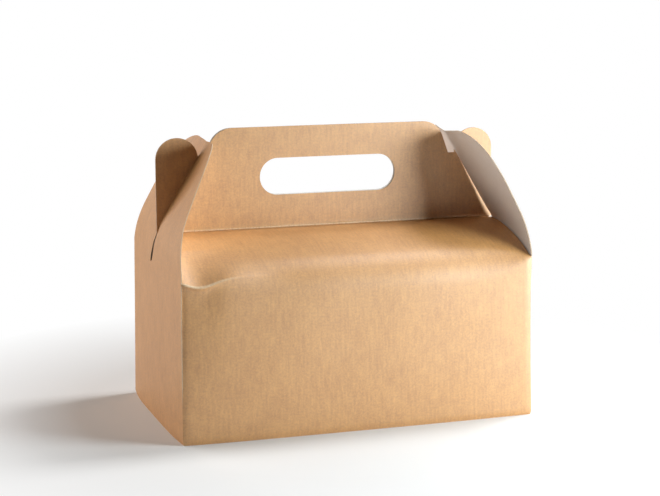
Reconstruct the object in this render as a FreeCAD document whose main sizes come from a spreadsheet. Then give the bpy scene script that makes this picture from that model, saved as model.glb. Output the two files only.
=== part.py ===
import FreeCAD, Part
import math
import os
import Sketcher
from FreeCAD import Placement, Rotation, Vector

# A handled carton folded from one sheet of kraft board.  The bottom, walls, roof and the two
# handle panels are one piece.  An end flap closes each gable, and the lobes at the ends of the
# handle pass out through a slit in it.  The origin is at the middle of the bottom, X runs along
# the length and Z is up.

SIZES = (
    ("board", 0.5, "thickness of the board"),
    ("box_length", 240, "outside length at the bottom"),
    ("box_depth", 140, "outside depth"),
    ("shoulder_height", 107.7, "height of the walls"),
    ("end_lean", 1.3, "how far each end wall leans in at its top"),
    ("fold_radius", 0.8, "outside radius of the folds along the bottom"),
    ("shoulder_bend", 24, "radius of the soft shoulder between wall and roof"),
    ("shoulder_bend_end", 2, "its radius at the ends of the box"),
    ("soft_half_length", 70, "where the shoulder starts to tighten, from the middle"),
    ("ridge_height", 124.5, "height of the crease between roof and handle"),
    ("layer_gap", 0.2, "gap between the two handle panels"),
    ("handle_top", 193, "height of the top of the handle"),
    ("handle_top_half", 79.1, "half length of the handle at its top, before rounding"),
    ("handle_corner", 11, "radius of the top corners of the handle"),
    ("notch_height", 170.8, "height of the floor of each notch"),
    ("notch_inner", 86.7, "distance of each notch from the middle"),
    ("lobe_radius", 14.5, "radius of the lobes"),
    ("lobe_centre_height", 173, "height of the centre of the lobes"),
    ("hand_hole_length", 95.6, "length of the hand hole"),
    ("hand_hole_height", 25.5, "height of the hand hole"),
    ("hand_hole_centre", 159.4, "height of the middle of the hand hole"),
    ("hinge_gap", 0.3, "gap at the crease under each end flap"),
    ("flap_clearance", 0.4, "gap between the ends of the roof and the end flaps"),
    ("flap_upright_edge", 3, "height of the upright edges at the foot of a flap"),
    ("flap_side_angle", 22.1, "slope of the sides of a flap, from upright"),
    ("flap_corner", 28, "radius of the top corners of a flap"),
    ("flap_top", 187.5, "height of the top of a flap"),
    ("flap_dip", 2, "drop of the top of a flap at its middle"),
    ("mid_bend_height", 127, "height where the middle of a flap bends in"),
    ("mid_bend_radius", 12, "radius of that bend"),
    ("mid_lean_angle", 31.5, "lean of the middle of a flap, from upright"),
    ("side_bend_height", 125, "height where the sides of a flap bend in"),
    ("side_bend_radius", 30, "radius of that bend"),
    ("side_lean_angle", 21.7, "lean of the sides of a flap, from upright"),
    ("slit_foot", 2, "board left between the crease and the slit"),
    ("slit_clearance", 0.3, "gap beside the handle in the slit"),
    ("slit_end_clearance", 0.5, "gap past the lobes as a flap swings open"),
)

# Lines that several pieces share, written in the sizes above.
HALF_BOARD = "Sizes.board / 2"
HALF_LENGTH = "Sizes.box_length / 2"
HALF_DEPTH = "Sizes.box_depth / 2"
TOP_HALF_LENGTH = f"({HALF_LENGTH} - Sizes.end_lean)"
ROOF_END = f"({TOP_HALF_LENGTH} - Sizes.board - Sizes.flap_clearance)"
LOBE_CENTRE = f"({ROOF_END} - Sizes.lobe_radius)"
HINGE_HEIGHT = "(Sizes.shoulder_height + Sizes.hinge_gap / 2)"
WALL_JOIN = "(Sizes.shoulder_height / 2)"
FLAP_FOOT = "(Sizes.shoulder_height + Sizes.hinge_gap)"
HANDLE_THICKNESS = "(2 * Sizes.board + Sizes.layer_gap)"

# The two sketch planes: across the box, and along it.
ACROSS = Rotation(Vector(0, 1, 0), Vector(0, 0, 1), Vector(1, 0, 0), "XYZ")
ALONG = Rotation(Vector(1, 0, 0), Vector(0, 0, 1), Vector(0, -1, 0), "XYZ")

doc = FreeCAD.newDocument("Carton")


def make_sizes():
    """The spreadsheet of driving dimensions."""
    sheet = doc.addObject("Spreadsheet::Sheet", "Sizes")
    for row, (alias, value, meaning) in enumerate(SIZES, start=1):
        sheet.set(f"A{row}", meaning)
        sheet.set(f"B{row}", str(value))
        sheet.setAlias(f"B{row}", alias)
    doc.recompute()
    return sheet


sheet = make_sizes()


# ------------------------------------------------------------------ helpers

def line(across, up):
    """A straight step of an outline, to the point given by two expressions."""
    return (across, up, None, 0)


def arc(across, up, radius, turn=1, major=False):
    """A round step; turn is 1 for anticlockwise travel and -1 for clockwise."""
    return (across, up, radius, -turn if major else turn, turn)


def arc_between(start, end, radius, side, turn):
    """The arc from start to end, with its centre to the left (1) or right (-1)."""
    chord = end - start
    offset = math.sqrt(radius ** 2 - chord.Length ** 2 / 4)
    normal = Vector(-chord.y, chord.x, 0).normalize()
    centre = (start + end) * 0.5 + normal * offset * side
    first, last = (start, end) if turn > 0 else (end, start)
    angles = [math.atan2(p.y - centre.y, p.x - centre.x) for p in (first, last)]
    return Part.ArcOfCircle(Part.Circle(centre, Vector(0, 0, 1), radius), *angles)


def number_of(thing, expression):
    """What an expression of the sheet comes to."""
    return float(thing.evalExpression(expression))


def bind(sketch, kind, geometry, point, expression):
    """Hold one coordinate of a sketch point, or a radius, to an expression."""
    value = number_of(sketch, expression)
    if kind == "Radius":
        constraint = Sketcher.Constraint(kind, geometry, value)
    else:
        constraint = Sketcher.Constraint(kind, geometry, point, value)
    index = sketch.addConstraint(constraint)
    sketch.setExpression(f"Constraints[{index}]", expression)


def make_outline(name, plane, start, steps, closed=True):
    """A sketch that runs from start through each step, every point held by expressions."""
    sketch = doc.addObject("Sketcher::SketchObject", name)
    sketch.Placement = Placement(Vector(), plane)
    here = start
    ends = []
    for step in steps + ([line(*start)] if closed else []):
        points = [Vector(number_of(sketch, across), number_of(sketch, up), 0)
                  for across, up in (here, step[:2])]
        if step[2] is None:
            index = sketch.addGeometry(Part.LineSegment(*points), False)
            ends.append((index, 1, 2))
        else:
            radius = number_of(sketch, step[2])
            index = sketch.addGeometry(arc_between(*points, radius, *step[3:]), False)
            ends.append((index, 1, 2) if step[4] > 0 else (index, 2, 1))
            bind(sketch, "Radius", index, None, step[2])
        bind(sketch, "DistanceX", index, ends[-1][1], here[0])
        bind(sketch, "DistanceY", index, ends[-1][1], here[1])
        here = step[:2]
    following = ends[1:] + (ends[:1] if closed else [])
    for (before, _, leaves), (after, arrives, _) in zip(ends, following):
        sketch.addConstraint(Sketcher.Constraint("Coincident", before, leaves, after, arrives))
    if not closed:
        bind(sketch, "DistanceX", ends[-1][0], ends[-1][2], here[0])
        bind(sketch, "DistanceY", ends[-1][0], ends[-1][2], here[1])
    doc.recompute()
    return sketch


def give_thickness(name, path):
    """The section of a board whose middle line is the path."""
    section = doc.addObject("Part::Offset2D", name)
    section.Source = path
    section.Join = "Intersection"
    section.Fill = True
    section.setExpression("Value", HALF_BOARD)
    doc.recompute()
    return section


def extrude(name, base, direction, length, symmetric=False):
    solid = doc.addObject("Part::Extrusion", name)
    solid.Base = base
    solid.DirMode = "Custom"
    solid.Dir = direction
    solid.Solid = True
    solid.Symmetric = symmetric
    solid.setExpression("LengthFwd", length)
    doc.recompute()
    return solid


def combine(kind, name, *pieces):
    """A boolean of the pieces: Part::MultiFuse, Part::MultiCommon or Part::Cut."""
    result = doc.addObject(kind, name)
    if kind == "Part::Cut":
        result.Base, result.Tool = pieces
    else:
        result.Shapes = list(pieces)
    doc.recompute()
    return result


def mirror(name, source, normal):
    copy = doc.addObject("Part::Mirroring", name)
    copy.Source = source
    copy.Normal = normal
    doc.recompute()
    return copy


def round_edges(name, base, choices):
    """Fillet the edges that each choice picks; a choice is (test, radius)."""
    fillet = doc.addObject("Part::Fillet", name)
    fillet.Base = base
    picked = []
    for number, edge in enumerate(base.Shape.Edges, start=1):
        picked += [(number, radius, radius) for test, radius in choices if test(edge)]
    fillet.Edges = picked
    doc.recompute()
    return fillet


def lies_along(direction, **place):
    """A test for straight edges along one axis through the given coordinates."""
    def test(edge):
        ends = [vertex.Point for vertex in edge.Vertexes]
        if len(ends) != 2:
            return False
        run = ends[1] - ends[0]
        straight = abs(abs(run.dot(direction)) - run.Length) < 1e-6
        return straight and all(abs(getattr(end, axis) - value) < 1e-4
                                for end in ends for axis, value in place.items())
    return test


# ------------------------------------------------------------------- carton

def make_roof_section(name, distance, bend):
    """The board from half way up the wall to the ridge, at a distance along the box."""
    wall = f"({HALF_DEPTH} - {HALF_BOARD})"
    ridge = "Sizes.layer_gap / 2"
    run = f"({wall} - {ridge})"
    rise = "(Sizes.ridge_height - Sizes.shoulder_height)"
    roof_radius = f"(({run}^2 + {rise}^2) / (2 * {rise}))"
    inner_radius = f"({roof_radius} - {bend})"
    inner_run = f"({run} - {bend})"
    inner_rise = f"sqrt({inner_radius}^2 - {inner_run}^2)"
    roof_centre = f"(Sizes.ridge_height - {roof_radius})"
    path = make_outline(f"{name}_path", ACROSS, (wall, WALL_JOIN), [
        line(wall, f"{roof_centre} + {inner_rise}"),
        arc(f"{ridge} + {inner_run} * {roof_radius} / {inner_radius}",
            f"{roof_centre} + {inner_rise} * {roof_radius} / {inner_radius}", bend),
        arc(ridge, "Sizes.ridge_height", roof_radius),
    ], closed=False)
    path.setExpression("Placement.Base.x", distance)
    return give_thickness(name, path)


def make_board_strip():
    """A quarter of the sheet, folded: bottom, back wall, roof and handle panel."""
    along = Vector(1, 0, 0)
    wall = f"({HALF_DEPTH} - {HALF_BOARD})"
    lower_path = make_outline("tray_path", ACROSS, ("0", HALF_BOARD), [
        line(wall, HALF_BOARD),
        line(wall, WALL_JOIN),
    ], closed=False)
    tray = extrude("tray", give_thickness("tray_section", lower_path), along, HALF_LENGTH)
    inside = sheet.box_depth / 2 - sheet.board
    tray = round_edges("tray_rounded", tray, [
        (lies_along(along, y=sheet.box_depth / 2, z=0), sheet.fold_radius),
        (lies_along(along, y=inside, z=sheet.board), sheet.fold_radius - sheet.board),
    ])

    roof = doc.addObject("Part::Loft", "roof")
    roof.Sections = [
        make_roof_section("roof_mid", "0", "Sizes.shoulder_bend"),
        make_roof_section("roof_soft_end", "Sizes.soft_half_length", "Sizes.shoulder_bend"),
        make_roof_section("roof_end", HALF_LENGTH, "Sizes.shoulder_bend_end"),
    ]
    roof.Solid = True
    roof.Ruled = True

    panel = doc.addObject("Part::Box", "handle_panel")
    panel.setExpression("Length", HALF_LENGTH)
    panel.setExpression("Width", "Sizes.board")
    panel.setExpression("Height", f"Sizes.handle_top - Sizes.ridge_height + {HALF_BOARD}")
    panel.setExpression("Placement.Base.y", "Sizes.layer_gap / 2")
    panel.setExpression("Placement.Base.z", f"Sizes.ridge_height - {HALF_BOARD}")
    return combine("Part::MultiFuse", "strip", tray, roof, panel)


def make_side_outline():
    """The right half of the box as seen from the front, with its notch and lobe."""
    drop = "(Sizes.lobe_centre_height - Sizes.notch_height)"
    notch_end = f"({LOBE_CENTRE} - sqrt(Sizes.lobe_radius^2 - {drop}^2))"
    outline = make_outline("side_outline", ALONG, ("0", "0"), [
        line(HALF_LENGTH, "0"),
        line(TOP_HALF_LENGTH, "Sizes.shoulder_height"),
        line(ROOF_END, "Sizes.shoulder_height"),
        line(ROOF_END, "Sizes.lobe_centre_height"),
        arc(notch_end, "Sizes.notch_height", "Sizes.lobe_radius", major=True),
        line("Sizes.notch_inner", "Sizes.notch_height"),
        line("Sizes.handle_top_half", "Sizes.handle_top"),
        line("0", "Sizes.handle_top"),
    ])
    block = extrude("side_block", outline, Vector(0, 1, 0), "Sizes.box_depth")
    corner = lies_along(Vector(0, 1, 0), x=sheet.handle_top_half, z=sheet.handle_top)
    return round_edges("side_block_rounded", block, [(corner, sheet.handle_corner)])


def make_hand_hole():
    radius = "Sizes.hand_hole_height / 2"
    straight = f"(Sizes.hand_hole_length / 2 - {radius})"
    low = f"(Sizes.hand_hole_centre - {radius})"
    high = f"(Sizes.hand_hole_centre + {radius})"
    outline = make_outline("hand_hole_outline", ALONG, ("0", low), [
        line(straight, low),
        arc(f"{straight} + {radius}", "Sizes.hand_hole_centre", radius),
        arc(straight, high, radius),
        line("0", high),
    ])
    return extrude("hand_hole", outline, Vector(0, 1, 0), "Sizes.box_depth", symmetric=True)


def make_end_wall():
    inner_foot = f"({HALF_LENGTH} - Sizes.board)"
    inner_top = f"({TOP_HALF_LENGTH} - Sizes.board)"
    outline = make_outline("end_wall_outline", ALONG, (inner_foot, "0"), [
        line(HALF_LENGTH, "0"),
        line(TOP_HALF_LENGTH, "Sizes.shoulder_height"),
        line(inner_top, "Sizes.shoulder_height"),
    ])
    return extrude("end_wall", outline, Vector(0, 1, 0), "Sizes.box_depth", symmetric=True)


def make_carton():
    """Half of the folded sheet with its end wall, and its mirror image."""
    quarter = combine("Part::MultiCommon", "quarter", make_board_strip(), make_side_outline())
    quarter = combine("Part::Cut", "quarter_with_hole", quarter, make_hand_hole())
    other_quarter = mirror("other_quarter", quarter, Vector(0, 1, 0))
    half = combine("Part::MultiFuse", "half", quarter, other_quarter, make_end_wall())
    carton = combine("Part::MultiFuse", "carton", half, mirror("other_half", half, Vector(1, 0, 0)))
    carton.Label = "carton"
    return carton


# ---------------------------------------------------------------- end flaps

def make_flap_section(name, depth, bend_height, bend_radius, lean):
    """The flap's board where it stands at the given depth: upright, a bend, then leaning in."""
    upright = f"({TOP_HALF_LENGTH} - {HALF_BOARD})"
    reach = f"({bend_radius} * tan({lean} / 2))"
    top = "(Sizes.flap_top + Sizes.flap_corner)"
    path = make_outline(f"{name}_path", ALONG, (upright, FLAP_FOOT), [
        line(upright, f"{bend_height} - {reach}"),
        arc(f"{upright} - {reach} * sin({lean})", f"{bend_height} + {reach} * cos({lean})", bend_radius),
        line(f"{upright} - ({top} - {bend_height}) * tan({lean})", top),
    ], closed=False)
    path.setExpression("Placement.Base.y", depth)
    return give_thickness(name, path)


def make_flap_outline():
    """Half of the flap as seen from the end: a bell shape with a slight dip at its top."""
    half_width = f"({HALF_DEPTH} - Sizes.flap_clearance)"
    upright_top = f"({FLAP_FOOT} + Sizes.flap_upright_edge)"
    apex = f"({half_width} - (Sizes.flap_top - {upright_top}) * tan(Sizes.flap_side_angle))"
    reach = "(Sizes.flap_corner * tan(45 - Sizes.flap_side_angle / 2))"
    return make_outline("flap_outline", ACROSS, ("0", FLAP_FOOT), [
        line(half_width, FLAP_FOOT),
        line(half_width, upright_top),
        line(f"{apex} + {reach} * sin(Sizes.flap_side_angle)",
             f"Sizes.flap_top - {reach} * cos(Sizes.flap_side_angle)"),
        arc(f"{apex} - {reach}", "Sizes.flap_top", "Sizes.flap_corner"),
        line("0", "Sizes.flap_top - Sizes.flap_dip"),
    ])


def make_slit():
    """The slit that the lobes pass through, as high as they reach while the flap swings."""
    lean = "Sizes.mid_lean_angle"
    rise = f"(Sizes.mid_bend_height - {HINGE_HEIGHT})"
    lobe_run = f"({TOP_HALF_LENGTH} - {LOBE_CENTRE})"
    lobe_rise = f"(Sizes.lobe_centre_height - {HINGE_HEIGHT})"
    lobe_reach = (f"(sqrt({lobe_run}^2 + {lobe_rise}^2)"
                  " + Sizes.lobe_radius + Sizes.slit_end_clearance)")
    leaning_run = f"(sqrt({lobe_reach}^2 - ({rise} * sin({lean}))^2) - {rise} * cos({lean}))"
    foot = f"({FLAP_FOOT} + Sizes.slit_foot)"
    slit = doc.addObject("Part::Box", "slit")
    slit.setExpression("Length", HALF_LENGTH)
    slit.setExpression("Width", f"{HANDLE_THICKNESS} + 2 * Sizes.slit_clearance")
    slit.setExpression("Height", f"Sizes.mid_bend_height + {leaning_run} * cos({lean}) - {foot}")
    slit.setExpression("Placement.Base.y", f"-{HANDLE_THICKNESS} / 2 - Sizes.slit_clearance")
    slit.setExpression("Placement.Base.z", foot)
    doc.recompute()
    return slit


def make_right_flap():
    side = ("Sizes.side_bend_height", "Sizes.side_bend_radius", "Sizes.side_lean_angle")
    sheet_of_board = doc.addObject("Part::Loft", "flap_board")
    sheet_of_board.Sections = [
        make_flap_section("flap_front_section", f"-{HALF_DEPTH}", *side),
        make_flap_section("flap_mid_section", "0",
                          "Sizes.mid_bend_height", "Sizes.mid_bend_radius", "Sizes.mid_lean_angle"),
        make_flap_section("flap_back_section", HALF_DEPTH, *side),
    ]
    sheet_of_board.Solid = True
    sheet_of_board.Ruled = True
    half_outline = extrude("flap_outline_back", make_flap_outline(), Vector(1, 0, 0), HALF_LENGTH)
    whole_outline = combine("Part::MultiFuse", "flap_outline_whole", half_outline,
                            mirror("flap_outline_front", half_outline, Vector(0, 1, 0)))
    bell = combine("Part::MultiCommon", "flap_bell", sheet_of_board, whole_outline)
    flap = combine("Part::Cut", "right_end_flap", bell, make_slit())
    flap.Label = "right_end_flap"
    return flap


# -------------------------------------------------------------- the whole box

carton = make_carton()
right_flap = make_right_flap()
left_flap = mirror("left_end_flap", right_flap, Vector(1, 0, 0))
left_flap.Label = "left_end_flap"
doc.recompute()

faulty = [thing.Name for thing in doc.Objects if {"Invalid", "Error"} & set(thing.State)]
if faulty:
    raise RuntimeError(f"these did not build: {', '.join(faulty)}")

os.makedirs("parts", exist_ok=True)
for piece in (carton, left_flap, right_flap):
    shape = piece.Shape
    if shape.isNull() or not shape.isValid() or len(shape.Solids) != 1:
        raise RuntimeError(f"{piece.Label} is not one sound solid")
    shape.exportStep(f"parts/{piece.Label}.step")
    box = shape.optimalBoundingBox()
    print(f"{piece.Label}: {shape.Volume:.0f} mm3, X {box.XMin:.2f} to {box.XMax:.2f},"
          f" Y {box.YMin:.2f} to {box.YMax:.2f}, Z {box.ZMin:.2f} to {box.ZMax:.2f}")
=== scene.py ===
import math

import bpy
import numpy as np
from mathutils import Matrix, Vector
from mathutils.geometry import delaunay_2d_cdt


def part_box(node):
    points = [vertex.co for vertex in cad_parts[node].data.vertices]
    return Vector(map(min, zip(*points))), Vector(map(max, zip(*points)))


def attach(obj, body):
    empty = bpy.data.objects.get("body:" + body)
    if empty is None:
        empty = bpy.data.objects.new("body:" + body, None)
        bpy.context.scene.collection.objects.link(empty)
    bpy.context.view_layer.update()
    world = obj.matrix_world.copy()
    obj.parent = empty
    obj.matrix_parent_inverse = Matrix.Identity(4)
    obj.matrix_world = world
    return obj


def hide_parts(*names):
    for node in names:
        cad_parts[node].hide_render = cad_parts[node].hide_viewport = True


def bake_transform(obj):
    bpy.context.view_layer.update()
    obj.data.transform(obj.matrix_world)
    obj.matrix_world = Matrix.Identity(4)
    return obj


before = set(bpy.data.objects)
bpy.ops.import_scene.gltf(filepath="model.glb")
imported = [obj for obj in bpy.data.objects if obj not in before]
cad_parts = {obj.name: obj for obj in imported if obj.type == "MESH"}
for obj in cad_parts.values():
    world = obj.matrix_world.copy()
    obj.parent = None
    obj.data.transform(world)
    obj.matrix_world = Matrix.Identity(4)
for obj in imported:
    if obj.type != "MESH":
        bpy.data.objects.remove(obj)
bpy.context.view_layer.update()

# A board is drawn flat as (a, b) and then set in space: a runs along the box or its end, and b, or v on the
# folded sheet, runs up from the foot. A side is -1 at the front and the left end, 1 at the back and the right
# end. Lengths are in millimetres up to the floor and the lamps, which are in metres.

# ---------------------------------------------------------------- main sizes
MM = 0.001
BOARD = 0.5
FLAP_GAP = 0.3
CARTON_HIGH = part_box("carton")[1] / MM
FLAP_LOW, FLAP_HIGH = (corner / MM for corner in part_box("right_end_flap"))
HALF_LENGTH = CARTON_HIGH.x
HALF_DEPTH = CARTON_HIGH.y
HANDLE_TOP = CARTON_HIGH.z
TOP_HALF_LENGTH = FLAP_HIGH.x
SHOULDER = FLAP_LOW.z - FLAP_GAP
FLAP_TOP = FLAP_HIGH.z

FOLD = 0.5
SOFT_BEND = 24
END_BEND = 2
RIDGE = 124.5
LAYER_GAP = 0.2
ROOF_END = TOP_HALF_LENGTH - 1.1
NOTCH_HEIGHT = 170.8
NOTCH_INNER = 86.7
HOLE_HALF_LENGTH = 47.8
HOLE_RADIUS = 12.45
HOLE_HEIGHT = 159.4
HANDLE_SETTLE = 0.994


# ---------------------------------------------------------------- flat patterns
def arc_points(centre, radius, start, end, step=1.0):
    """Points round an arc, angles in degrees."""
    count = max(2, math.ceil(abs(math.radians(end - start)) * radius / step))
    angles = (math.radians(start + (end - start) * i / count) for i in range(count + 1))
    return [(centre[0] + radius * math.cos(a), centre[1] + radius * math.sin(a)) for a in angles]


def mirrored(points):
    """The points on the other side of the middle, in the order that closes the outline."""
    return [(-a, b) for a, b in reversed(points)]


def filled_in(points, step, closed=True):
    """The outline or line with extra points along its long straight stretches."""
    full = []
    ends = points[1:] + points[:1] if closed else points[1:]
    for (x0, y0), (x1, y1) in zip(points, ends):
        count = max(1, math.ceil(math.hypot(x1 - x0, y1 - y0) / step))
        full += [(x0 + (x1 - x0) * i / count, y0 + (y1 - y0) * i / count) for i in range(count)]
    return full if closed else full + [points[-1]]


def inside(points, loops):
    """Which of the points lie inside the outlines, by the even-odd rule."""
    px, py = points[:, 0], points[:, 1]
    odd = np.zeros(len(points), dtype=bool)
    for loop in loops:
        ring = np.array(loop)
        for (x0, y0), (x1, y1) in zip(ring, np.roll(ring, -1, axis=0)):
            if y0 != y1:
                crosses = (y0 > py) != (y1 > py)
                odd ^= crosses & (px < (x1 - x0) * (py - y0) / (y1 - y0) + x0)
    return odd


def smooth(value, low, high):
    """0 below low, 1 above high and a smooth step between."""
    part = min(max((value - low) / (high - low), 0), 1)
    return part * part * (3 - 2 * part)


def mix(one, other, share):
    """From one at share 0 to the other at share 1."""
    return one + (other - one) * share


def hump(value, middle, width):
    """1 at the middle, falling off to next to nothing two widths away."""
    return math.exp(-((value - middle) / width) ** 2)


# ---------------------------------------------------------------- boards
GRID = 2.5
SLIVER_LIMIT = 0.02
MEET_TOLERANCE = 1e-5
SLOPE_STEP = 0.15
OUTER, INNER, RIM = 0, 1, 2


def sides_of(face):
    """The pairs of points that a face's edges join."""
    return zip(face, face[1:] + face[:1])


def edge_uses(faces):
    """How many faces each edge belongs to."""
    used = {}
    for face in faces:
        for pair in sides_of(face):
            used[frozenset(pair)] = used.get(frozenset(pair), 0) + 1
    return used


def is_rim_sliver(face, flat, used):
    """Whether the triangle is a flat one that only joins three points in a row of the outline."""
    one, two, three = (flat[i] for i in face)
    at_rim = any(used[frozenset(pair)] == 1 for pair in sides_of(face))
    return at_rim and abs((two - one).cross(three - one)) < SLIVER_LIMIT


def inner_points(outlines, fixed, grid):
    """A grid of points inside the outlines, clear of the points that are already there."""
    low, high = fixed.min(axis=0), fixed.max(axis=0)
    counts = np.maximum(2, np.round((high - low) / grid).astype(int)) + 1
    across, up = (np.linspace(low[i], high[i], counts[i])[1:-1] for i in (0, 1))
    spots = np.array([(a, b) for b in up for a in across])
    spots = spots[inside(spots, outlines)]
    gap = np.array([np.min(np.hypot(*(fixed - spot).T)) for spot in spots])
    return spots[gap > grid / 2]


def row_edges(rows, outline_count):
    """Edges along the rows of points: the outlines first, which are closed, and then the open lines."""
    edges, first = [], 0
    for number, row in enumerate(rows):
        count = len(row) if number < outline_count else len(row) - 1
        edges += [(first + i, first + (i + 1) % len(row)) for i in range(count)]
        first += len(row)
    return edges


def flat_mesh(loops, lines, grid):
    """Points, triangles and rim edges of a flat sheet with its outlines, holes and crease lines."""
    outlines = [filled_in(loop, grid) for loop in loops]
    rows = outlines + [filled_in(line, grid, False) for line in lines]
    fixed = np.array([point for row in rows for point in row])
    spots = fixed.tolist() + inner_points(outlines, fixed, grid).tolist()
    edges = row_edges(rows, len(outlines))
    flat, _, faces, *_ = delaunay_2d_cdt([Vector(spot) for spot in spots], edges, [], 0, MEET_TOLERANCE)
    middles = np.array([sum((flat[i] for i in face), Vector((0, 0))) / 3 for face in faces])
    faces = [tuple(face) for face, kept in zip(faces, inside(middles, outlines)) if kept]
    used = edge_uses(faces)
    faces = [face for face in faces if not is_rim_sliver(face, flat, used)]
    used = edge_uses(faces)
    rims = [pair for face in faces for pair in sides_of(face) if used[frozenset(pair)] == 1]
    return [tuple(point) for point in flat], faces, rims


def board_faces(flat, place, flip):
    """The points of the board's two faces, half its thickness either side of place(a, b)."""
    outer, inner = [], []
    for a, b in flat:
        run = Vector(place(a + SLOPE_STEP, b)) - Vector(place(a - SLOPE_STEP, b))
        rise = Vector(place(a, b + SLOPE_STEP)) - Vector(place(a, b - SLOPE_STEP))
        half = run.cross(rise).normalized() * (-BOARD / 2 if flip else BOARD / 2)
        outer.append(Vector(place(a, b)) + half)
        inner.append(Vector(place(a, b)) - half)
    return outer, inner


def board_object(name, verts, where, polys, kinds, materials):
    """The mesh and its object, with the flat sheet as its UV map and a material for each kind of face."""
    mesh = bpy.data.meshes.new(name)
    mesh.from_pydata([v * MM for v in verts], [], polys)
    mesh.polygons.foreach_set("material_index", kinds)
    mesh.polygons.foreach_set("use_smooth", [kind != RIM for kind in kinds])
    sheet_map = mesh.uv_layers.new(name="sheet")
    for corner in mesh.loops:
        a, b = where[corner.vertex_index]
        sheet_map.data[corner.index].uv = (a * MM, b * MM)
    for material in materials:
        mesh.materials.append(material)
    mesh.update()
    board = bpy.data.objects.new(name, mesh)
    bpy.context.scene.collection.objects.link(board)
    return board


def cut_board(name, loops, place, materials, flip=False, grid=GRID, lines=()):
    """A sheet of board cut to flat outlines, its middle surface set in space by place(a, b)."""
    flat, faces, rims = flat_mesh(loops, lines, grid)
    outer, inner = board_faces(flat, place, flip)
    count = len(flat)
    verts = outer + inner
    where = flat * 2
    polys = [face[::-1] if flip else face for face in faces]
    polys += [tuple(i + count for i in (face if flip else face[::-1])) for face in faces]
    kinds = [OUTER] * len(faces) + [INNER] * len(faces)
    for i, j in rims:
        start = len(verts)
        corners = [(outer[i], flat[i]), (inner[i], flat[i]), (inner[j], flat[j]), (outer[j], flat[j])]
        corners = corners[::-1] if flip else corners
        verts += [corner for corner, _ in corners]
        where += [spot for _, spot in corners]
        polys.append(tuple(range(start, start + 4)))
        kinds.append(RIM)
    return board_object(name, verts, where, polys, kinds, materials)


def join(name, boards):
    """One object of several boards."""
    with bpy.context.temp_override(active_object=boards[0], selected_editable_objects=boards):
        bpy.ops.object.join()
    boards[0].name = name
    return boards[0]


# ---------------------------------------------------------------- shader nodes
class Graph:
    """The shader nodes of a material or of the world, with a short way to add each kind."""

    def __init__(self, owner):
        owner.use_nodes = True
        self.nodes = owner.node_tree.nodes
        self.link = owner.node_tree.links.new

    def node(self, kind, **inputs):
        """A new node, each input's name written with _ for a space."""
        made = self.nodes.new(kind)
        for key, value in inputs.items():
            made.inputs[key.replace("_", " ")].default_value = value
        return made

    def noise(self, uv, scale, stretch, detail, roughness, turn):
        """Noise over the flat sheet, turned by an angle in radians and finer where stretch is large."""
        mapping = self.node("ShaderNodeMapping", Scale=stretch, Rotation=(0, 0, turn))
        self.link(uv, mapping.inputs["Vector"])
        made = self.node("ShaderNodeTexNoise", Scale=scale, Detail=detail, Roughness=roughness)
        self.link(mapping.outputs["Vector"], made.inputs["Vector"])
        return made.outputs["Fac"]

    def ramp(self, source, low, high, start, end):
        """A smooth step from start to end while the source goes from low to high."""
        made = self.node("ShaderNodeMapRange", From_Min=low, From_Max=high, To_Min=start, To_Max=end)
        made.interpolation_type = "SMOOTHSTEP"
        self.link(source, made.inputs["Value"])
        return made.outputs["Result"]

    def maths(self, operation, *values):
        """The result of a maths operation on sockets and plain numbers."""
        made = self.node("ShaderNodeMath")
        made.operation = operation
        for socket, value in zip(made.inputs, values):
            if isinstance(value, (int, float)):
                socket.default_value = value
            else:
                self.link(value, socket)
        return made.outputs[0]

    def mixed(self, share, one, other):
        """The first colour, plain or a socket, changing to the plain second one with the share."""
        made = self.node("ShaderNodeMix")
        made.data_type = "RGBA"
        if isinstance(one, tuple):
            made.inputs["A"].default_value = (*one, 1)
        else:
            self.link(one, made.inputs["A"])
        made.inputs["B"].default_value = (*other, 1)
        self.link(share, made.inputs["Factor"])
        return made.outputs["Result"]


# ---------------------------------------------------------------- kraft board
# Each noise: scale, stretch, detail, roughness, turn
NOISES = {
    "mottle": (45, (1, 1, 1), 3.0, 0.55, 0.0),
    "clouds": (170, (1, 1, 1), 3.0, 0.55, 0.0),
    "pulp": (700, (1, 1, 1), 5.0, 0.7, 0.0),
    "streaks": (600, (1, 0.12, 1), 2.0, 0.5, 0.0),
    "dark_fibres": (1500, (1, 0.22, 1), 2.0, 0.5, 0.5),
    "pale_fibres": (1300, (0.2, 1, 1), 2.0, 0.5, 0.35),
}
# Where these noises rise from 0 to 1
RISES = {"mottle": (0.3, 0.7), "dark_fibres": (0.60, 0.72), "pale_fibres": (0.62, 0.74)}
# How much each one counts in the tone, and how far some are shifted
NOISE_MEAN = 0.5
MOTTLE_TONE, DARK_FIBRE_TONE, PALE_FIBRE_TONE, STREAK_TONE = 0.2, 0.22, 0.18, 0.8
CLOUDS_TONE, CLOUDS_SHIFT = 0.5, -0.25
PULP_TONE, PULP_SHIFT = 2.0, -0.60
# How much each one counts in the relief, whose depth is in metres
PULP_RELIEF, FIBRE_RELIEF, STREAK_RELIEF = 0.6, 0.35, 0.8
RELIEF_STRENGTH, RELIEF_DEPTH = 0.35, 0.00012
# Roughness goes this far below and above its value as the pulp rises
PULP_RISE = 0.3, 0.7
SMOOTHER, ROUGHER = 0.06, 0.08
BOARD_SPECULAR, BOARD_IOR = 1.0, 1.75
# Board made pale along its creases, partly rubbed wear and partly a painted highlight along the folds; less
# where the pulp is low
RUB_AND_HIGHLIGHT_COLOUR = (0.88, 0.66, 0.40)
RUB_AND_HIGHLIGHT_RISE, RUB_AND_HIGHLIGHT_SHARES = (0.35, 0.6), (0.55, 1.0)


def sheet_noises(graph, uv):
    """The noises that the board's tone, gloss and relief are made from."""
    made = {name: graph.noise(uv, *values) for name, values in NOISES.items()}
    for name, (low, high) in RISES.items():
        made[name] = graph.ramp(made[name], low, high, 0.0, 1.0)
    return made


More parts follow.
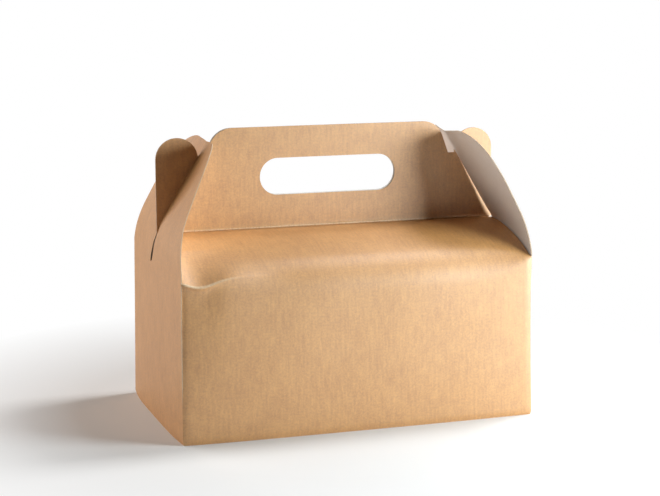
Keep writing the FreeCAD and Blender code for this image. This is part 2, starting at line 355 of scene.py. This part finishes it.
def sheet_tone(graph, noises, streak):
    """From 0 at the board's dark colour to 1 at its light one."""
    clouds = graph.maths("MULTIPLY_ADD", noises["clouds"], CLOUDS_TONE, CLOUDS_SHIFT)
    tone = graph.maths("ADD", graph.maths("MULTIPLY", noises["mottle"], MOTTLE_TONE), clouds)
    tone = graph.maths("ADD", tone, graph.maths("MULTIPLY_ADD", noises["pulp"], PULP_TONE, PULP_SHIFT))
    streaks = graph.maths("SUBTRACT", noises["streaks"], NOISE_MEAN)
    tone = graph.maths("ADD", tone, graph.maths("MULTIPLY", streaks, STREAK_TONE * streak))
    tone = graph.maths("SUBTRACT", tone, graph.maths("MULTIPLY", noises["dark_fibres"], DARK_FIBRE_TONE))
    return graph.maths("ADD", tone, graph.maths("MULTIPLY", noises["pale_fibres"], PALE_FIBRE_TONE))


def paint_crease_rub_and_highlight(graph, uv, noises, colour, creases):
    """The colour with its creases made pale: partly rubbed wear, partly a painted highlight along the folds.
    """
    split = graph.node("ShaderNodeSeparateXYZ")
    graph.link(uv, split.inputs[0])
    shares = [crease(graph, split.outputs["X"], split.outputs["Y"]) for crease in creases]
    share = graph.maths("ADD", *shares) if len(shares) > 1 else shares[0]
    uneven = graph.ramp(noises["pulp"], *RUB_AND_HIGHLIGHT_RISE, *RUB_AND_HIGHLIGHT_SHARES)
    return graph.mixed(graph.maths("MULTIPLY", share, uneven), colour, RUB_AND_HIGHLIGHT_COLOUR)


def sheet_relief(graph, noises, streak):
    """The bump of the pulp, the fibres and the streaks."""
    pulp = graph.maths("MULTIPLY", noises["pulp"], PULP_RELIEF)
    height = graph.maths("ADD", pulp, graph.maths("MULTIPLY", noises["dark_fibres"], FIBRE_RELIEF))
    height = graph.maths("ADD", height, graph.maths("MULTIPLY", noises["streaks"], STREAK_RELIEF * streak))
    bump = graph.node("ShaderNodeBump", Strength=RELIEF_STRENGTH, Distance=RELIEF_DEPTH)
    graph.link(height, bump.inputs["Height"])
    return bump.outputs["Normal"]


def kraft(name, light, dark, streak=1.0, rough=0.56, creases=()):
    """Uncoated brown board: mottled pulp, short fibres, faint upright streaks and creases made pale by wear
    and a painted highlight.
    """
    material = bpy.data.materials.new(name)
    graph = Graph(material)
    shader = graph.nodes["Principled BSDF"]
    sheet = graph.node("ShaderNodeUVMap")
    sheet.uv_map = "sheet"
    uv = sheet.outputs["UV"]
    noises = sheet_noises(graph, uv)
    colour = graph.mixed(sheet_tone(graph, noises, streak), dark, light)
    if creases:
        colour = paint_crease_rub_and_highlight(graph, uv, noises, colour, creases)
    roughness = graph.ramp(noises["pulp"], *PULP_RISE, rough - SMOOTHER, rough + ROUGHER)
    graph.link(colour, shader.inputs["Base Color"])
    graph.link(roughness, shader.inputs["Roughness"])
    graph.link(sheet_relief(graph, noises, streak), shader.inputs["Normal"])
    shader.inputs["Specular IOR Level"].default_value = BOARD_SPECULAR
    shader.inputs["IOR"].default_value = BOARD_IOR
    return material


# ---------------------------------------------------------------- walls and roof
WALL = HALF_DEPTH - BOARD / 2
RIDGE_Y = LAYER_GAP / 2 + BOARD / 2
ROOF_RUN = WALL - LAYER_GAP / 2
ROOF_RISE = RIDGE - SHOULDER
ROOF_RADIUS = (ROOF_RUN ** 2 + ROOF_RISE ** 2) / (2 * ROOF_RISE)
ROOF_CENTRE = RIDGE - ROOF_RADIUS
ROOF_LENGTH = ROOF_RADIUS * math.asin(ROOF_RUN / ROOF_RADIUS)
RIDGE_V = SHOULDER + ROOF_LENGTH
CORNER = HALF_LENGTH - BOARD / 2 - FOLD
TOP_SCALE = (TOP_HALF_LENGTH - BOARD / 2 - FOLD) / CORNER
WRAP = FOLD * math.pi / 2
FOLD_BASE = FOLD + BOARD / 2
BASE_BLEND = 20


def roof_point(way_down):
    """Depth and height on the roof's arc, so far down from the ridge."""
    angle = way_down / ROOF_RADIUS
    return LAYER_GAP / 2 + ROOF_RADIUS * math.sin(angle), ROOF_CENTRE + ROOF_RADIUS * math.cos(angle)


def soft_profile(x, v, sharpness):
    """Depth and height of the wall, the soft shoulder and the roof, v up the sheet."""
    bend = END_BEND + (SOFT_BEND - END_BEND) * (1 - min(abs(x) / ROOF_END, 1) ** sharpness)
    run, radius = ROOF_RUN - bend, ROOF_RADIUS - bend
    turn = math.acos(run / radius)
    low = ROOF_CENTRE + radius * math.sin(turn)
    high = RIDGE_V - ROOF_RADIUS * (math.pi / 2 - turn)
    if v < low:
        return WALL, v
    if v > high:
        return roof_point(RIDGE_V - v)
    angle = turn * (v - low) / (high - low)
    return WALL - bend + bend * math.cos(angle), low + bend * math.sin(angle)


# ---------------------------------------------------------------- the front's pressed upper left corner
# Pressed in fully at the first x and not at all at the second, from the crease to this far below the ridge
PRESSED_FULL, PRESSED_NONE = -116, -43
PRESSED_TOP, PRESSED_SAG = 40, 5
# The crease dips near its left end
CREASE_LEVEL = SHOULDER - 0.9
CREASE_DIP, CREASE_DIP_X, CREASE_DIP_RUN = 5.7, -107, 14
CREASE_INSET, CREASE_END, CREASE_POINTS = 0.6, -50, 35
CREASE_ROWS = -2.4, -1.6, -0.8, 0, 0.8, 1.6, 2.4
# A lip stands out along the crease, fully so this far to the left, with a hollow below it
LIP_WIDTH, LIP_HALF, LIP_FULL = 1.2, 90, 105
HOLLOW, HOLLOW_START, HOLLOW_RUN = 2.2, 4, 22
HOLLOW_FULL, HOLLOW_NONE = -104, -88
# The roof's left edge lifts above the crease and comes back to the ridge
LIFT, LIFT_RUN, LIFT_RISE, LIFT_TOP = 1.2, 9, 14, 9


def crease_height(x):
    """Height on the front of the crease that presses its upper left corner flat."""
    return CREASE_LEVEL - CREASE_DIP * hump(x, CREASE_DIP_X, CREASE_DIP_RUN)


def pressed_profile(x, v):
    """Depth and height where the shoulder is pressed in above a crisp crease."""
    low, high = crease_height(x), RIDGE_V - PRESSED_TOP
    if v < low:
        return WALL, v
    if v > high:
        return roof_point(RIDGE_V - v)
    part = (v - low) / (high - low)
    top = roof_point(PRESSED_TOP)
    slope = math.tan(PRESSED_TOP / ROOF_RADIUS)
    middle = (top[0] + PRESSED_SAG, top[1] - PRESSED_SAG * slope)
    weights = (1 - part) ** 2, 2 * part * (1 - part), part ** 2
    guides = (WALL, low), middle, top
    return tuple(sum(weight * guide[i] for weight, guide in zip(weights, guides)) for i in (0, 1))


def crease_hollow(below):
    """How far the wall is dished in, so far below the pressed crease."""
    if below <= 0:
        return 0
    return (1 - math.exp(-below / HOLLOW_START)) * math.exp(-below / HOLLOW_RUN) * HOLLOW


def pressed_in(x, v, depth, height):
    """The shoulder's depth and height, pressed in at its left above a lip and the hollow under it."""
    share = 1 - smooth(x, PRESSED_FULL, PRESSED_NONE)
    flat_depth, flat_height = pressed_profile(x, max(v, 0))
    below = crease_height(x) - v
    depth, height = mix(depth, flat_depth, share), mix(height, flat_height, share)
    lip = hump(below, 0, LIP_WIDTH) * (0.5 + 0.5 * smooth(-x, LIP_HALF, LIP_FULL))
    depth += share * (lip - crease_hollow(below) * (1 - smooth(x, HOLLOW_FULL, HOLLOW_NONE)))
    lift = LIFT * math.exp(-(x + ROOF_END) / LIFT_RUN)
    height += lift * smooth(-below, 0, LIFT_RISE) * (1 - smooth(v, RIDGE_V - LIFT_TOP, RIDGE_V))
    return depth, height


def crease_lines():
    """Rows of points along the pressed crease and just beside it."""
    start, end = -ROOF_END / TOP_SCALE, CREASE_END
    xs = [start + CREASE_INSET + (end - start) * i / (CREASE_POINTS - 1) for i in range(CREASE_POINTS)]
    return [[(x, crease_height(x * TOP_SCALE) + row) for x in xs] for row in CREASE_ROWS]


# ---------------------------------------------------------------- how a filled box settles
# How far the walls bow out, and how fast that falls off from the ends, the foot and the ridge
FRONT_PILLOW, BACK_PILLOW = 3.5, 1.5
PILLOW_EDGE, PILLOW_FAR_EDGE = 17, 85
PILLOW_FOOT, PILLOW_TOP = (-12, 55), (SHOULDER - 42, RIDGE + 4)
# How far the foot bows out at the ends and sides and is pushed sideways, and where the bow ends
END_BOW, SIDE_BOW, SHEAR = 2.4, 1.5, 1.3
BOW_TOP = 60
LEAN, LEAN_START = 0.8, 84
# How far each end bulges at its crease, and the height on the flap where that ends
BULGE = {-1: (1.0, SHOULDER + 22), 1: (1.3, SHOULDER + 32)}
BULGE_START = 20
RIPPLE_FOOT, RIPPLE_TOP = (0, 25), (RIDGE_V - 12, RIDGE_V - 3)


def ripple(x, v, seed):
    """Slow unevenness of the board, at most a third of a millimetre."""
    return (0.14 * math.sin(x / 23 + seed) * math.sin(v / 19 + 2 * seed)
            + 0.10 * math.sin(x / 11 - v / 31 + seed)
            + 0.08 * math.sin(v / 9 + x / 47 + 3 * seed))


def wall_pillow(x, height):
    """How far the wall bows out, as a share of its most."""
    left = 1 - math.exp(-(ROOF_END + x) / PILLOW_EDGE)
    right = 1 - math.exp(-(ROOF_END - x) / PILLOW_FAR_EDGE)
    return max(left * right, 0) * smooth(height, *PILLOW_FOOT) * (1 - smooth(height, *PILLOW_TOP))


def lean_out(height):
    """How far the right end stands out at the shoulder and above it."""
    return LEAN * smooth(height, LEAN_START, SHOULDER)


def end_lean(x, height):
    """The right end's lean, carried into the front, the back and the roof beside it."""
    return lean_out(height) * min(max(x / TOP_HALF_LENGTH, 0), 1) ** 6


def end_bulge(side, y, height):
    """How far the end stands out round its crease, most at the middle."""
    most, top = BULGE[side]
    around = max(1 - (y / HALF_DEPTH) ** 2, 0) ** 1.5
    return most * around * smooth(height, BULGE_START, SHOULDER) * (1 - smooth(height, SHOULDER, top))


def settled(place):
    """The place function with the filled box's foot bowed out and pushed a little sideways."""
    def moved(a, b):
        x, y, z = place(a, b)
        along, across = min(abs(x) / HALF_LENGTH, 1), min(abs(y) / HALF_DEPTH, 1)
        low = 1 - smooth(z, 0, BOW_TOP)
        bowed_x = x + math.copysign(END_BOW * low * (1 - across ** 4) * along ** 3, x)
        bowed_y = y + math.copysign(SIDE_BOW * low * (1 - along ** 4) * across ** 3, y)
        bowed_x += SHEAR * max(1 - z / SHOULDER, 0) ** 2 * (0.5 - 0.5 * y / HALF_DEPTH)
        return bowed_x, bowed_y, z
    return moved


# ---------------------------------------------------------------- ridge and handle
# Distance from the ridge and width of the bead on the handle and on the roof
BEAD_ABOVE, BEAD_WIDTH_ABOVE = 1.0, 0.6
BEAD_BELOW, BEAD_WIDTH_BELOW = 0.7, 0.5
BEAD_FADE = 108, 112
RIDGE_INSET = 2.5
RIDGE_ROWS = -1.6, -1.1, -0.7, -0.3, 0, 0.5, 0.9, 1.3, 1.8, 2.3
HANDLE_BOW, HANDLE_BOW_RISE, HANDLE_FOOT = 0.3, 30, 8
CORNER_TOP, ROOF_START, LOBE_FOOT = SHOULDER - 1, SHOULDER + 1.5, RIDGE + 1
# Distance below the ridge, and how much of the cut the roof's end has there
ROOF_EDGE = (40, 0), (20, 0.6), (9, 1), (1, 1)
RIGHT_HALF = {"lobe_centre": 105.1, "lobe_radius": 13.8, "lobe_height": 173.8,
              "top_half": 78.8, "corner_radius": 15, "roof_cut": -0.6}
FRONT_LEFT_HALF = {"lobe_centre": 104.0, "lobe_radius": 14.2, "lobe_height": 173.3,
                   "top_half": 77.5, "corner_radius": 17, "roof_cut": 1.2}
BACK_LEFT_HALF = {**FRONT_LEFT_HALF, "top_half": 78.0, "corner_radius": 15.5}
BACK_HOLE_SHIFT = -0.6, 0.5


def ridge_bead(x):
    """How far the folded ridge stands out, a little uneven along its length."""
    return 0.7 + 0.2 * math.sin(x / 13) + 0.15 * math.sin(x / 5) * math.sin(x / 17)


def handle_point(side, x, v):
    """Where a point of the front or back layer of the handle goes."""
    bow = HANDLE_BOW * math.sin(x / 40 + 1) * max(1 - (x / NOTCH_INNER) ** 2, 0)
    bow *= smooth(v, RIDGE_V, RIDGE_V + HANDLE_BOW_RISE)
    bead = ridge_bead(x) * hump(v - RIDGE_V, BEAD_ABOVE, BEAD_WIDTH_ABOVE)
    if side > 0:
        bead *= 1 - smooth(abs(x), *BEAD_FADE)
    foot = 1 - smooth(v, RIDGE_V, RIDGE_V + HANDLE_FOOT)
    height = RIDGE + HANDLE_SETTLE * (v - RIDGE_V)
    return x + foot * end_lean(x, RIDGE), side * (RIDGE_Y + bead) + bow, height


def tucked_foot(height, under):
    """The height with the foot lifted by the fold there, and with the edge tucked under by an angle."""
    return height + (FOLD_BASE * max(1 - height / BASE_BLEND, 0) - FOLD * math.sin(under))


def body_place(side, sharpness, pressed, pillow, seed):
    """Where a point of the front (side -1) or the back (side 1) of the folded sheet goes."""
    def place(a, v):
        x = a * TOP_SCALE
        if v >= RIDGE_V:
            return handle_point(side, x, v)
        depth, height = soft_profile(x, max(v, 0), sharpness)
        if pressed:
            depth, height = pressed_in(x, v, depth, height)
        depth += pillow * wall_pillow(x, height)
        depth += ripple(x, v, seed) * smooth(v, *RIPPLE_FOOT) * (1 - smooth(v, *RIPPLE_TOP))
        height -= ridge_bead(x) * hump(RIDGE_V - v, BEAD_BELOW, BEAD_WIDTH_BELOW)
        scale = 1 - (1 - TOP_SCALE) * min(height / SHOULDER, 1)
        wrap = max(abs(a) - CORNER, 0) / FOLD
        under = max(-v, 0) / FOLD
        x = math.copysign(min(abs(a), CORNER) * scale, a)
        x += math.copysign(FOLD * math.sin(wrap) * math.cos(under), a) + end_lean(x, height)
        depth -= FOLD * (1 - math.cos(wrap) * math.cos(under))
        return x, side * depth, tucked_foot(height, under)
    return place


def half_body(lobe_centre, lobe_radius, lobe_height, top_half, corner_radius, roof_cut):
    """Right half of the flat outline of one side of the sheet: wall, roof, lobe, notch and handle."""
    foot_angle = 180 + math.degrees(math.asin((lobe_height - NOTCH_HEIGHT) / lobe_radius))
    side_angle = math.degrees(math.atan2(NOTCH_INNER - top_half, HANDLE_TOP - NOTCH_HEIGHT))
    reach = corner_radius * math.tan(math.radians(90 - side_angle) / 2)
    handle = [(lobe_centre + lobe_radius, LOBE_FOOT)]
    handle += arc_points((lobe_centre, lobe_height), lobe_radius, 0, foot_angle)
    handle += [(NOTCH_INNER, NOTCH_HEIGHT)]
    handle += arc_points((top_half - reach, HANDLE_TOP - corner_radius), corner_radius, side_angle, 90)
    roof_end = ROOF_END / TOP_SCALE
    wall = [(CORNER + WRAP, -WRAP), (CORNER + WRAP, CORNER_TOP), (roof_end, ROOF_START)]
    roof = [(roof_end - share * roof_cut, RIDGE_V - down) for down, share in ROOF_EDGE]
    return wall + roof + [(x / TOP_SCALE, RIDGE_V + z - RIDGE) for x, z in handle]


def hole_outline(shift_x=0.0, shift_z=0.0):
    """The hand hole, shifted a little in a layer that doesn't quite meet the other."""
    x, z = HOLE_HALF_LENGTH - HOLE_RADIUS, RIDGE_V + HOLE_HEIGHT - RIDGE
    right = arc_points((x, z), HOLE_RADIUS, -90, 90)
    return [((a + shift_x) / TOP_SCALE, b + shift_z) for a, b in right + mirrored(right)]


def ridge_lines():
    """Rows of points along the ridge that keep its crease crisp."""
    end = (ROOF_END - RIDGE_INSET) / TOP_SCALE
    return [[(-end, RIDGE_V + row), (end, RIDGE_V + row)] for row in RIDGE_ROWS]


# ---------------------------------------------------------------- board materials
# How much the board is made pale, partly rubbed wear and partly a painted highlight, how far above the
# crease, and the distance over which that fades
RIDGE_RUB_AND_HIGHLIGHT, RIDGE_RUB_AND_HIGHLIGHT_LINE, RIDGE_RUB_AND_HIGHLIGHT_FADE = 0.7, 0.8, (0.1 * MM, 0.7 * MM)
PRESSED_RUB_AND_HIGHLIGHT, PRESSED_RUB_AND_HIGHLIGHT_LINE, PRESSED_RUB_AND_HIGHLIGHT_FADE = 0.8, 0.3, (0.2 * MM, 0.9 * MM)
PRESSED_RUB_AND_HIGHLIGHT_FULL, PRESSED_RUB_AND_HIGHLIGHT_NONE = -100, -76


def ridge_crease(graph, u, v):
    """Share of pale board beside the ridge crease, on the handle's side of it: partly rubbed wear, partly a
    painted highlight.
    """
    away = graph.maths("ABSOLUTE", graph.maths("SUBTRACT", v, (RIDGE_V + RIDGE_RUB_AND_HIGHLIGHT_LINE) * MM))
    return graph.ramp(away, *RIDGE_RUB_AND_HIGHLIGHT_FADE, RIDGE_RUB_AND_HIGHLIGHT, 0.0)


def pressed_crease(graph, u, v):
    """Share of pale board along the pressed crease at the upper left of the front: partly rubbed wear, partly
    a painted highlight.
    """
    offset = graph.maths("ADD", graph.maths("MULTIPLY", u, TOP_SCALE), -CREASE_DIP_X * MM)
    offset = graph.maths("DIVIDE", offset, CREASE_DIP_RUN * MM)
    dip = graph.maths("EXPONENT", graph.maths("MULTIPLY", graph.maths("MULTIPLY", offset, offset), -1.0))
    height = graph.maths("MULTIPLY_ADD", dip, -CREASE_DIP * MM, CREASE_LEVEL * MM)
    line = graph.maths("SUBTRACT", v, PRESSED_RUB_AND_HIGHLIGHT_LINE * MM)
    away = graph.maths("ABSOLUTE", graph.maths("SUBTRACT", line, height))
    across = graph.ramp(away, *PRESSED_RUB_AND_HIGHLIGHT_FADE, 1.0, 0.0)
    along = graph.ramp(u, PRESSED_RUB_AND_HIGHLIGHT_FULL * MM, PRESSED_RUB_AND_HIGHLIGHT_NONE * MM, PRESSED_RUB_AND_HIGHLIGHT, 0.0)
    return graph.maths("MULTIPLY", across, along)


OUTSIDE = {"light": (0.70, 0.342, 0.090), "dark": (0.465, 0.194, 0.036)}
LINING = kraft("pale_lining", light=(0.82, 0.78, 0.74), dark=(0.76, 0.71, 0.66), streak=0.2, rough=0.68)
CUT_EDGE = kraft("kraft_cut_edge", light=(0.60, 0.44, 0.28), dark=(0.45, 0.31, 0.18), streak=0.3, rough=0.9)
PLAIN_BOARD = kraft("kraft_outside", **OUTSIDE), LINING, CUT_EDGE
BACK_BOARD = kraft("kraft_back", **OUTSIDE, creases=(ridge_crease,)), LINING, CUT_EDGE
FRONT_BOARD = kraft("kraft_front", **OUTSIDE, creases=(ridge_crease, pressed_crease)), LINING, CUT_EDGE


# ---------------------------------------------------------------- carton
END_REACH = HALF_DEPTH - FOLD_BASE
BOTTOM_GRID = 6


def end_place(side):
    """Where a point of the end wall goes, a along it and v up from its foot."""
    def place(a, v):
        under = max(-v, 0) / FOLD
        height = max(v, 0)
        x = HALF_LENGTH - BOARD / 2 - (HALF_LENGTH - TOP_HALF_LENGTH) * height / SHOULDER
        lean = lean_out(height) if side > 0 else 0
        x += end_bulge(side, a, height) + lean - FOLD * (1 - math.cos(under))
        return side * x, side * a, tucked_foot(height, under)
    return place


def make_front():
    """The front, pressed in at its upper left, with its roof, lobes and layer of the handle."""
    outline = half_body(**RIGHT_HALF) + mirrored(half_body(**FRONT_LEFT_HALF))
    place = settled(body_place(-1, sharpness=8, pressed=True, pillow=FRONT_PILLOW, seed=1.0))
    lines = ridge_lines() + crease_lines()
    return cut_board("front", [outline, hole_outline()], place, FRONT_BOARD, lines=lines)


def make_back():
    """The back, with its roof, lobes and layer of the handle."""
    outline = half_body(**RIGHT_HALF) + mirrored(half_body(**BACK_LEFT_HALF))
    place = settled(body_place(1, sharpness=6, pressed=False, pillow=BACK_PILLOW, seed=2.0))
    loops = [outline, hole_outline(*BACK_HOLE_SHIFT)]
    return cut_board("back", loops, place, BACK_BOARD, flip=True, lines=ridge_lines())


def make_ends():
    """Both end walls; the left one has the end of the flap's slit in its top edge."""
    foot = [(-END_REACH, -WRAP), (END_REACH, -WRAP), (END_REACH, SHOULDER)]
    top = [(-END_REACH, SHOULDER)]
    return [cut_board("left_end", [foot + left_end_slit() + top], settled(end_place(-1)), PLAIN_BOARD),
            cut_board("right_end", [foot + top], settled(end_place(1)), PLAIN_BOARD)]


def make_bottom():
    """The bottom, one flat sheet between the folds of the foot."""
    corners = [(-CORNER, -END_REACH), (CORNER, -END_REACH), (CORNER, END_REACH), (-CORNER, END_REACH)]
    place = settled(lambda a, b: (a, b, BOARD / 2))
    return cut_board("bottom", [corners], place, PLAIN_BOARD, flip=True, grid=BOTTOM_GRID)


def make_carton():
    """All the board of the carton in one piece."""
    carton = join("carton_board", [make_front(), make_back(), *make_ends(), make_bottom()])
    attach(carton, "box")
    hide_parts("carton")


# ---------------------------------------------------------------- end flaps
SIDE_ANGLE = math.radians(22.1)
FLAP_CORNER = 28
FLAP_DIP = 2
FLAP_SETTLE = {-1: 0.982, 1: 1.0}
FLAP_UPRIGHT = SHOULDER + 3
FLAP_FOOT_INSET, FLAP_SIDE_INSET = 0.5, 0.4
# How far the left flap's front half dips, the heights and the way from the middle over which it does
HALF_DIP, HALF_DIP_RISE, HALF_DIP_RUN = 1.4, (150, FLAP_TOP), (0, 25)
# The flap is this much wider, round this height and over this run
FLAP_WIDER = {-1: (-0.028, 139, 12), 1: (0.035, 161, 11)}
# Height and radius of a bend, and the lean above it in degrees
MIDDLE_BEND = {-1: (127, 40, 31.5), 1: (125.1, 12, 30.2)}
SIDE_BEND = {-1: (125, 80, 22.5), 1: (125, 80, 18.8)}
SIDE_BEND_FULL = HALF_DEPTH - 10
FLAP_GRID = 1.6
FLAP_ARC_STEP = 2
SLIT_HALF = 0.9
SLIT_TOP = 172.5
# Below its bend the left slit runs askew, opens to twice SLIT_WIDE at the fold and ends in the end wall
SLIT_BEND, SLIT_KINK = 126, 1.2
SLIT_ASKEW, SLIT_WIDE, SLIT_END = 10.5, 2.5, 104.6
# The right slit is wider at the front up to one height and narrows to the second
SLIT_FOOT = SHOULDER + 1.2
RIGHT_SLIT_GAP, RIGHT_SLIT_WIDE, RIGHT_SLIT_NARROW = 2.8, 125, 166
# The edge beside the slit curls out between these heights, fading off from the slit
CURL, CURL_RUN = 0.25, 1.6
CURL_RISE, CURL_FALL = (118, 132), (160, SLIT_TOP)


def leaning(z, bend_height, bend_radius, lean_degrees):
    """How far the board has leaned in at a height: upright, a bend, then straight."""
    lean = math.radians(lean_degrees)
    reach = bend_radius * math.tan(lean / 2)
    start, end = bend_height - reach, bend_height + reach * math.cos(lean)
    if z <= start:
        return 0
    if z < end:
        return bend_radius - math.sqrt(bend_radius ** 2 - (z - start) ** 2)
    return (z - bend_height) * math.tan(lean)


def slit_curl(front, z):
    """How far the front half of the flap curls out beside the slit."""
    if front <= 0:
        return 0
    return CURL * math.exp(-front / CURL_RUN) * smooth(z, *CURL_RISE) * (1 - smooth(z, *CURL_FALL))


def flap_place(side):
    """Where a point of the flap goes, a along the fold (towards the front on the left flap) and z up."""
    wider, wide_height, wide_run = FLAP_WIDER[side]

    def place(a, z):
        z = SHOULDER + (z - SHOULDER) * FLAP_SETTLE[side]
        front = -side * a
        if side < 0:
            z -= HALF_DIP * smooth(z, *HALF_DIP_RISE) * smooth(front, *HALF_DIP_RUN)
        width = 1 + wider * hump(z, wide_height, wide_run)
        share = min((abs(a) / SIDE_BEND_FULL) ** 1.5, 1)
        lean_in = mix(leaning(z, *MIDDLE_BEND[side]), leaning(z, *SIDE_BEND[side]), share)
        lean = lean_out(z) if side > 0 else 0
        x = TOP_HALF_LENGTH - BOARD / 2 - lean_in + end_bulge(side, a, z) + lean + slit_curl(front, z)
        return side * x, side * a * width, z
    return place


def flap_outline():
    """The bell shape of both flaps: straight sides, wide round corners and a shallow dip in the top."""
    half_width = HALF_DEPTH - BOARD / 2
    apex = half_width - (FLAP_TOP - FLAP_UPRIGHT) * math.tan(SIDE_ANGLE)
    reach = FLAP_CORNER * math.tan(math.radians(45) - SIDE_ANGLE / 2)
    centre = (apex - reach, FLAP_TOP - FLAP_CORNER)
    corner = arc_points(centre, FLAP_CORNER, math.degrees(SIDE_ANGLE), 90, FLAP_ARC_STEP)
    right = [(half_width - FLAP_FOOT_INSET, SHOULDER), (half_width - FLAP_SIDE_INSET, FLAP_UPRIGHT), *corner]
    return right + [(0, FLAP_TOP - FLAP_DIP)] + mirrored(right)


def left_flap_loops():
    """The flap with the slit that the lobe passes, open at its foot and drawn askew towards the back."""
    slit = [(-SLIT_ASKEW - SLIT_WIDE, SHOULDER), (-SLIT_KINK - SLIT_HALF, SLIT_BEND - 2),
            (-SLIT_HALF, SLIT_BEND + 3), (-SLIT_HALF, SLIT_TOP), (SLIT_HALF, SLIT_TOP),
            (SLIT_HALF, SLIT_BEND), (-SLIT_ASKEW + SLIT_WIDE, SHOULDER)]
    return [flap_outline() + slit]


def left_end_slit():
    """The end of the left slit, just below the flap's fold."""
    lean = SLIT_ASKEW / (SLIT_BEND - SHOULDER)
    foot = SLIT_ASKEW + lean * (SHOULDER - SLIT_END)
    return [(-SLIT_ASKEW + SLIT_WIDE, SHOULDER), (-foot + SLIT_WIDE / 2, SLIT_END),
            (-foot - SLIT_WIDE / 2, SLIT_END), (-SLIT_ASKEW - SLIT_WIDE, SHOULDER)]


def right_flap_loops():
    """The flap with the slit that the lobe passes, its front edge standing off the handle lower down."""
    slit = [(-RIGHT_SLIT_GAP, SLIT_FOOT + 4), (-SLIT_HALF, SLIT_FOOT + 1), (SLIT_HALF, SLIT_FOOT + 1),
            (SLIT_HALF, SLIT_TOP), (-SLIT_HALF, SLIT_TOP), (-SLIT_HALF, RIGHT_SLIT_NARROW),
            (-RIGHT_SLIT_GAP, RIGHT_SLIT_WIDE)]
    return [flap_outline(), slit]


def make_flap(name, side, loops):
    """A flap cut from board and set leaning in above its end wall, its part from the model hidden."""
    flap = cut_board(f"{name}_end_flap_board", loops, flap_place(side), PLAIN_BOARD, grid=FLAP_GRID)
    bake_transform(flap)
    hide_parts(f"{name}_end_flap")


# ---------------------------------------------------------------- stage, in metres
FLOOR_SIZE = 20
FLOOR_COLOUR = (0.80, 0.80, 0.80, 1)
FLOOR_ROUGHNESS, FLOOR_SPECULAR = 0.9, 0.1
FLOOR_FADE = 0.17, 0.33
WHITE = (1, 1, 1, 1)
LENS, SENSOR = 93.44, 36
CAMERA_SPOT = (-0.3588, -1.0864, 0.3122)
CAMERA_DOWN, CAMERA_TURN = 10.092, -18.349


def floor_material():
    """Pale, with white light of its own away from the box, for the camera only."""
    material = bpy.data.materials.new("pale_floor")
    graph = Graph(material)
    shader = graph.nodes["Principled BSDF"]
    shader.inputs["Base Color"].default_value = FLOOR_COLOUR
    shader.inputs["Roughness"].default_value = FLOOR_ROUGHNESS
    shader.inputs["Specular IOR Level"].default_value = FLOOR_SPECULAR
    white = graph.node("ShaderNodeEmission", Color=WHITE)
    length = graph.node("ShaderNodeVectorMath")
    length.operation = "LENGTH"
    graph.link(graph.node("ShaderNodeTexCoord").outputs["Object"], length.inputs[0])
    fade = graph.node("ShaderNodeMapRange", From_Min=FLOOR_FADE[0], From_Max=FLOOR_FADE[1])
    graph.link(length.outputs["Value"], fade.inputs["Value"])
    to_camera = graph.node("ShaderNodeLightPath").outputs["Is Camera Ray"]
    mixed = graph.node("ShaderNodeMixShader")
    graph.link(graph.maths("MULTIPLY", fade.outputs["Result"], to_camera), mixed.inputs["Fac"])
    graph.link(shader.outputs[0], mixed.inputs[1])
    graph.link(white.outputs[0], mixed.inputs[2])
    graph.link(mixed.outputs[0], graph.nodes["Material Output"].inputs["Surface"])
    return material


def make_floor():
    """Pale floor that keeps the shadow and turns white away from the box."""
    bpy.ops.mesh.primitive_plane_add(size=FLOOR_SIZE, location=(0, 0, 0))
    floor = bpy.context.object
    floor.name = "floor"
    floor.data.materials.append(floor_material())


def make_world():
    """White to the camera and dark to every other ray."""
    world = bpy.data.worlds.new("studio")
    bpy.context.scene.world = world
    graph = Graph(world)
    graph.nodes.clear()
    output = graph.node("ShaderNodeOutputWorld")
    light = graph.node("ShaderNodeBackground", Color=WHITE)
    graph.link(graph.node("ShaderNodeLightPath").outputs["Is Camera Ray"], light.inputs["Strength"])
    graph.link(light.outputs[0], output.inputs["Surface"])


def make_light(name, azimuth, elevation, distance, size, watts, colour, target=(0, 0, 0.1)):
    """A soft square lamp; azimuth 0 is straight in front of the box and 90 is at its right end."""
    turn, lift = math.radians(azimuth), math.radians(elevation)
    way = Vector((math.sin(turn) * math.cos(lift), -math.cos(turn) * math.cos(lift), math.sin(lift)))
    lamp = bpy.data.lights.new(name, "AREA")
    lamp.shape = "SQUARE"
    lamp.size = size
    lamp.energy = watts
    lamp.color = colour
    holder = bpy.data.objects.new(name, lamp)
    holder.location = Vector(target) + way * distance
    holder.rotation_mode = "QUATERNION"
    holder.rotation_quaternion = (-way).to_track_quat("-Z", "Y")
    bpy.context.scene.collection.objects.link(holder)


def make_lights():
    """A near key at the front right, a high lamp over the right end and a wide fill behind the left end."""
    make_light("key", azimuth=51, elevation=15, distance=0.56, size=0.3, watts=6.5,
               colour=(0.86, 0.96, 1), target=(0.1, -0.05, 0.1))
    make_light("high", azimuth=102, elevation=55, distance=1.2, size=0.35, watts=10.0, colour=(1, 1, 1))
    make_light("fill", azimuth=-120, elevation=24, distance=1.0, size=1.0, watts=8.0, colour=(1, 0.93, 0.87))


def make_camera():
    """The camera of the photo, worked out from the box's straight edges; lens and sensor in millimetres."""
    data = bpy.data.cameras.new("camera")
    data.sensor_width = SENSOR
    data.lens = LENS
    camera = bpy.data.objects.new("camera", data)
    camera.location = CAMERA_SPOT
    camera.rotation_euler = (math.radians(90 - CAMERA_DOWN), 0, math.radians(CAMERA_TURN))
    bpy.context.scene.collection.objects.link(camera)
    bpy.context.scene.camera = camera


make_carton()
make_flap("left", -1, left_flap_loops())
make_flap("right", 1, right_flap_loops())
make_camera()
make_floor()
make_world()
make_lights()
bpy.context.scene.view_settings.view_transform = "Standard"
